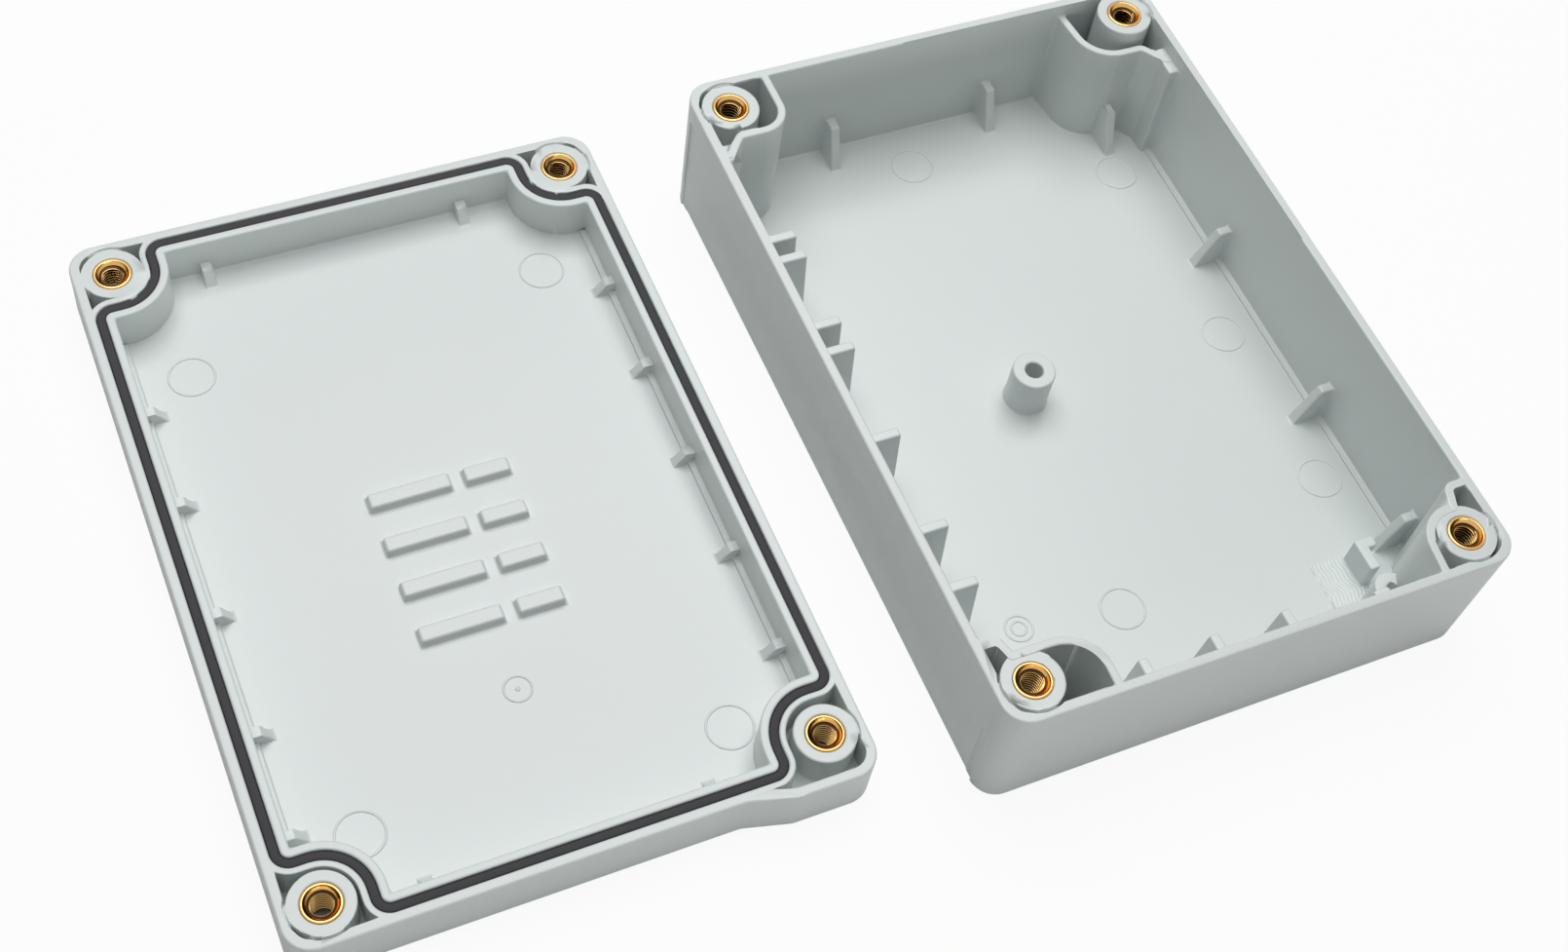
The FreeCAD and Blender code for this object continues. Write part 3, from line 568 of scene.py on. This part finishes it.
class HOUSING_OT_mouldings(bpy.types.Operator):
    """Makes the two mouldings, with rounded edges and feet"""
    bl_idname = "housing.mouldings"
    bl_label = "Mouldings"

    def execute(self, context):
        self.settings = context.scene.housing_moulding
        half_across = BORE_SPACING["spacing_x_mm"] / 2
        half_along = BORE_SPACING["spacing_y_mm"] / 2
        # Faces are cut through the standoff, the bosses and the bars, so that none has a hole.
        for node, middle, across, along, wanted in (
            ("base_shell", BASE_MIDDLE, (-7.5,), (1.5,), self.base_radius),
            ("lid_shell", LID_MIDDLE, (-8, 12), (10.2, -3, -16.2, -29.4), self.lid_radius),
        ):
            copy = merged_copy(node)
            cut_faces(copy,
                      [middle.x + place * MM for place in (-half_across, *across, half_across)],
                      [middle.y + place * MM for place in (-half_along, *along, half_along)])
            round_by_room(copy, wanted, self.settings.bar_radius)
            piece = add_piece(f"{node}_moulding", copy, "satin_plastic", None)
            rounded = piece.modifiers.new("rounded_edges", "BEVEL")
            rounded.width = self.settings.bar_radius
            rounded.segments = 3
            rounded.limit_method = "WEIGHT"
            rounded.use_clamp_overlap = False
            calm_rounding(piece, rounded.width)
            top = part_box(node)[1].z
            axes = [(Vector((middle.x + side * half_across * MM, middle.y + end * half_along * MM, top)),
                     Vector((side, end, 0))) for side in (-1, 1) for end in (-1, 1)]
            cut_ledges(piece, axes, self.settings.ledge_radius, self.settings.ledge_width,
                       self.settings.ledge_depth)
            normals = piece.modifiers.new("even_normals", "WEIGHTED_NORMAL")
            normals.keep_sharp = True
            normals.weight = 100
            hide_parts(node)
        return {"FINISHED"}

    def base_radius(self, edge):
        """The rounding wanted along an edge of the base."""
        heights = [vertex.co.z / MM for vertex in edge.verts]
        level = abs(heights[0] - heights[1]) < LEVEL_SLACK
        if level and any(abs(heights[0] - top) < TOP_SLACK for top in BASE_TOPS):
            return self.settings.top_radius
        return self.settings.edge_radius

    def lid_radius(self, edge):
        """The rounding wanted along an edge of the lid."""
        heights = [vertex.co.z / MM for vertex in edge.verts]
        spot = ((edge.verts[0].co + edge.verts[1].co) / 2 - LID_MIDDLE) / MM
        over_bars = (BARS_ACROSS[0] < spot.x < BARS_ACROSS[1]
                     and BARS_ALONG[0] < spot.y < BARS_ALONG[1] and max(heights) > BAR_FOOT)
        if over_bars and abs(heights[0] - heights[1]) > LEVEL_SLACK:
            return self.settings.bar_radius
        if over_bars and min(heights) <= BAR_MIDDLE:
            return 0.5 * self.settings.edge_radius
        if over_bars or (min(heights) > LID_RIB_TOPS[0] and max(heights) < LID_RIB_TOPS[1]):
            return self.settings.top_radius
        return self.settings.edge_radius


class HOUSING_OT_seal(bpy.types.Operator):
    """Makes the rubber ring in the lid's groove"""
    bl_idname = "housing.seal"
    bl_label = "Seal"

    def execute(self, context):
        copy = merged_copy("gasket")
        round_edges(copy, sharp_edges(copy), context.scene.housing_seal.edge_radius, 4)
        piece = add_piece("seal_ring", copy, "seal_rubber")
        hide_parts("gasket")
        return {"FINISHED"}


class HOUSING_OT_inserts(bpy.types.Operator):
    """Makes the brass inserts with their countersunk mouths and threads"""
    bl_idname = "housing.inserts"
    bl_label = "Brass inserts"

    def execute(self, context):
        settings = context.scene.housing_insert
        for node in ("base_inserts", "lid_inserts"):
            low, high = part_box(node)
            outside = (high.x - low.x - BORE_SPACING["spacing_x_mm"] * MM) / 2
            length = high.z - low.z
            builder = bmesh.new()
            for x in (low.x + outside, high.x - outside):
                for y in (low.y + outside, high.y - outside):
                    self.turn_insert(builder, Vector((x, y, high.z)), outside, length, settings)
            bmesh.ops.recalc_face_normals(builder, faces=builder.faces)
            piece = add_piece(f"{node}_turned", builder, "turned_brass")
            # The second slot holds the painted shade of the threads.
            piece.data.materials.append(bpy.data.materials["brass_painted_shade"])
            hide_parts(node)
        return {"FINISHED"}

    def turn_insert(self, builder, centre, outside, length, settings):
        """One insert, its face at the centre point, with its bore and thread in near-black brass as
        painted shade.
        """
        before = set(builder.faces)
        chamfer = 0.2 * MM
        mouth_depth = settings.mouth_radius - settings.bore_radius
        spun_ring(builder, [
            (settings.mouth_radius + 0.5 * chamfer, -0.1 * chamfer),
            (outside - 2 * chamfer, 0),
            (outside - 0.6 * chamfer, -0.3 * chamfer),
            (outside, -chamfer),
            (outside, -length),
            (settings.bore_radius, -length),
            (settings.bore_radius, -mouth_depth - chamfer),
            (settings.mouth_radius, -chamfer),
            (settings.mouth_radius + 0.1 * chamfer, -0.5 * chamfer),
        ], centre)
        self.cut_thread(builder, centre, length, mouth_depth, settings)
        # Flanks and root beyond this radius take the near-black brass, painted shade in the bore; the
        # crests stay plain brass.
        painted_shade_radius = settings.crest_radius + 0.06 * MM
        for face in builder.faces:
            if face in before:
                continue
            radius = (face.calc_center_median() - centre).xy.length
            if painted_shade_radius < radius < settings.bore_radius + 0.01 * MM:
                face.material_index = 1

    def cut_thread(self, builder, centre, length, mouth_depth, settings):
        """The helical ridge of the thread, closed at both ends."""
        turns = int((length - mouth_depth) / settings.pitch)
        half = settings.pitch * 0.46
        root = settings.bore_radius + 0.05 * MM
        start = -length + 0.1 * settings.pitch
        crest = 0.12 * settings.pitch
        edge = settings.crest_radius + 0.08 * MM
        profile = [(root, start - half),
                   (settings.crest_radius, start - crest), (settings.crest_radius, start + crest),
                   (edge, start + 1.2 * crest), (root, start + half)]
        corners = [builder.verts.new(centre + Vector((radius, 0, height))) for radius, height in profile]
        face = builder.faces.new(corners)
        bmesh.ops.spin(builder, geom=[face], cent=centre, axis=(0, 0, 1),
                       dvec=(0, 0, settings.pitch / THREAD_STEPS), angle=2 * math.pi * turns,
                       steps=THREAD_STEPS * turns, use_merge=False)


class HOUSING_OT_floor_marks(bpy.types.Operator):
    """Makes the rings that ejector pins and the gate leave on the floors"""
    bl_idname = "housing.floor_marks"
    bl_label = "Floor marks"

    def execute(self, context):
        settings = context.scene.housing_marks
        base_pins = [(-2.5, 84), (54, 64), (55.6, 3), (57, -47.4), (-12.7, -65)]
        base_gates = [(-40.6, -61.3, 3.6), (-40.6, -61.3, 2)]
        lid_pins = [(-48.6, 61.4), (47, 66.8), (43, -76), (-46.4, -72.6)]
        lid_gates = [(-0.8, -49.6, 3.4), (-0.8, -49.6, 0.35)]
        for name, middle, pins, gates in (
            ("base_floor_marks", BASE_MIDDLE, base_pins, base_gates),
            ("lid_floor_marks", LID_MIDDLE, lid_pins, lid_gates),
        ):
            builder = bmesh.new()
            for across, along, radius in [(*spot, EJECTOR_RADIUS) for spot in pins] + gates:
                centre = Vector((middle.x + across * MM, middle.y + along * MM, FLOOR_HEIGHT))
                self.ring(builder, centre, radius * MM, settings)
            bmesh.ops.recalc_face_normals(builder, faces=builder.faces)
            add_piece(name, builder, "satin_plastic")
        return {"FINISHED"}

    def ring(self, builder, centre, radius, settings):
        """One low ring with a rounded top, its lower part within the floor."""
        half = min(settings.line_width / 2, 0.98 * radius)
        top = settings.line_height
        spun_ring(builder, [
            (radius - half, -top), (radius + half, -top), (radius + half, 0.1 * top),
            (radius + 0.7 * half, 0.75 * top), (radius + 0.2 * half, top),
            (radius - 0.2 * half, top), (radius - 0.7 * half, 0.75 * top), (radius - half, 0.1 * top),
        ], centre, 56)


class HOUSING_OT_grain_patch(bpy.types.Operator):
    """Makes the patch of fine wavy ridges on the floor of the base"""
    bl_idname = "housing.grain_patch"
    bl_label = "Grained patch"

    def execute(self, context):
        pitch = context.scene.housing_marks.grain_pitch
        size = Vector((14.4, 14.6)) * MM
        centre = BASE_MIDDLE + Vector((47.2 * MM, -77.7 * MM, FLOOR_HEIGHT))
        builder = bmesh.new()
        bmesh.ops.create_grid(builder, x_segments=96, y_segments=36, size=0.5)
        bmesh.ops.scale(builder, verts=builder.verts, vec=(size.x, size.y, 1))
        upper = bmesh.ops.extrude_face_region(builder, geom=builder.faces[:])["geom"]
        for vertex in (part for part in upper if isinstance(part, bmesh.types.BMVert)):
            slow = 0.6 * MM * math.sin(vertex.co.y / (2.3 * MM))
            quick = 0.3 * MM * math.sin(vertex.co.y / (0.9 * MM) + 1)
            ridge = math.sin(2 * math.pi * (vertex.co.x + (slow + quick)) / pitch)
            vertex.co.z = (0.14 + 0.13 * ridge) * MM
        bmesh.ops.translate(builder, verts=builder.verts, vec=centre)
        lower = [vertex for vertex in builder.verts if vertex.co.z < centre.z + MERGE_DISTANCE]
        bmesh.ops.translate(builder, verts=lower, vec=(0, 0, -0.1 * MM))
        bmesh.ops.recalc_face_normals(builder, faces=builder.faces)
        add_piece("base_grain_patch", builder, "satin_plastic", 60)
        return {"FINISHED"}


class HOUSING_OT_stage(bpy.types.Operator):
    """Makes the ground, the lamps and the camera"""
    bl_idname = "housing.stage"
    bl_label = "Stage"

    def execute(self, context):
        scene = context.scene
        settings = scene.housing_stage
        self.ground()
        self.lamps(scene, settings)
        camera_data = bpy.data.cameras.new("photo_camera")
        camera_data.lens = settings.lens
        camera_data.sensor_width = 36
        camera = bpy.data.objects.new("photo_camera", camera_data)
        scene.collection.objects.link(camera)
        camera.matrix_world = CAMERA_PLACE
        scene.camera = camera
        scene.view_settings.view_transform = "Standard"
        return {"FINISHED"}

    def ground(self):
        """A pale ground that the camera sees as white but for the shadow."""
        builder = bmesh.new()
        bmesh.ops.create_grid(builder, x_segments=1, y_segments=1, size=3)
        bmesh.ops.translate(builder, verts=builder.verts, vec=(0, 0, -GROUND_DROP))
        mesh = bpy.data.meshes.new("ground")
        builder.to_mesh(mesh)
        builder.free()
        ground = bpy.data.objects.new("ground", mesh)
        bpy.context.scene.collection.objects.link(ground)
        material = bpy.data.materials.new("pale_ground")
        material.use_nodes = True
        tree = material.node_tree
        surface = tree.nodes["Principled BSDF"]
        surface.inputs["Base Color"].default_value = (0.8, 0.8, 0.8, 1)
        surface.inputs["Roughness"].default_value = 0.9
        ray = add_node(tree, "ShaderNodeLightPath", (-500, 300))
        glow = add_node(tree, "ShaderNodeEmission", (0, -300))
        share = add_node(tree, "ShaderNodeMath", (-200, 300), operation="MULTIPLY")
        share.inputs[1].default_value = GROUND_WHITE
        blend = add_node(tree, "ShaderNodeMixShader", (300, 0))
        tree.links.new(ray.outputs["Is Camera Ray"], share.inputs[0])
        tree.links.new(share.outputs[0], blend.inputs["Fac"])
        tree.links.new(surface.outputs["BSDF"], blend.inputs[1])
        tree.links.new(glow.outputs["Emission"], blend.inputs[2])
        tree.links.new(blend.outputs["Shader"], tree.nodes["Material Output"].inputs["Surface"])
        glow.inputs["Strength"].default_value = 1
        mesh.materials.append(material)

    def lamps(self, scene, settings):
        """A large soft lamp above, a low one in front, and even light from all round."""
        for name, place, width, height, power in (
            ("key_lamp", (0.07, 0.3, 1.05), 0.95, 0.95, settings.key_power),
            ("front_lamp", (0.1, -1.2, 0.07), 0.9, 0.08, settings.fill_power),
        ):
            data = bpy.data.lights.new(name, "AREA")
            data.shape = "RECTANGLE"
            data.size = width
            data.size_y = height
            data.energy = power
            lamp = bpy.data.objects.new(name, data)
            scene.collection.objects.link(lamp)
            lamp.rotation_euler = (-Vector(place)).to_track_quat("-Z", "Y").to_euler()
            lamp.location = place
        world = bpy.data.worlds.new("studio")
        world.use_nodes = True
        scene.world = world
        tree = world.node_tree
        sky = tree.nodes["Background"]
        sky.inputs["Color"].default_value = (1, 1, 1, 1)
        sky.inputs["Strength"].default_value = settings.sky
        white = add_node(tree, "ShaderNodeBackground", (0, -200))
        white.inputs["Color"].default_value = (1, 1, 1, 1)
        ray = add_node(tree, "ShaderNodeLightPath", (-300, 300))
        seen = add_node(tree, "ShaderNodeMath", (-100, 300), operation="MAXIMUM")
        blend = add_node(tree, "ShaderNodeMixShader", (300, 0))
        tree.links.new(ray.outputs["Is Camera Ray"], seen.inputs[0])
        tree.links.new(ray.outputs["Is Glossy Ray"], seen.inputs[1])
        tree.links.new(seen.outputs[0], blend.inputs["Fac"])
        tree.links.new(sky.outputs[0], blend.inputs[1])
        tree.links.new(white.outputs[0], blend.inputs[2])
        tree.links.new(blend.outputs[0], tree.nodes["World Output"].inputs["Surface"])


class HOUSING_PT_sidebar(bpy.types.Panel):
    """Lists the steps that make the housing"""
    bl_idname = "HOUSING_PT_sidebar"
    bl_label = "Housing"
    bl_space_type = "VIEW_3D"
    bl_region_type = "UI"
    bl_category = "Housing"

    def draw(self, context):
        column = self.layout.column()
        for step in STEPS:
            column.operator(step.bl_idname)


STEPS = (
    HOUSING_OT_mouldings,
    HOUSING_OT_seal,
    HOUSING_OT_inserts,
    HOUSING_OT_floor_marks,
    HOUSING_OT_grain_patch,
    HOUSING_OT_stage,
)
SETTINGS = {
    "housing_moulding": MouldingSettings,
    "housing_insert": InsertSettings,
    "housing_seal": SealSettings,
    "housing_marks": MarkSettings,
    "housing_stage": StageSettings,
}


def register():
    for settings in SETTINGS.values():
        bpy.utils.register_class(settings)
    for name, settings in SETTINGS.items():
        setattr(bpy.types.Scene, name, bpy.props.PointerProperty(type=settings))
    for step in (*STEPS, HOUSING_PT_sidebar):
        bpy.utils.register_class(step)


def unregister():
    for step in (HOUSING_PT_sidebar, *reversed(STEPS)):
        bpy.utils.unregister_class(step)
    for name in SETTINGS:
        delattr(bpy.types.Scene, name)
    for settings in SETTINGS.values():
        bpy.utils.unregister_class(settings)


def main():
    register()
    make_materials()
    bpy.ops.housing.mouldings()
    bpy.ops.housing.seal()
    bpy.ops.housing.inserts()
    bpy.ops.housing.floor_marks()
    bpy.ops.housing.grain_patch()
    bpy.ops.housing.stage()


if __name__ == "__main__":
    main()
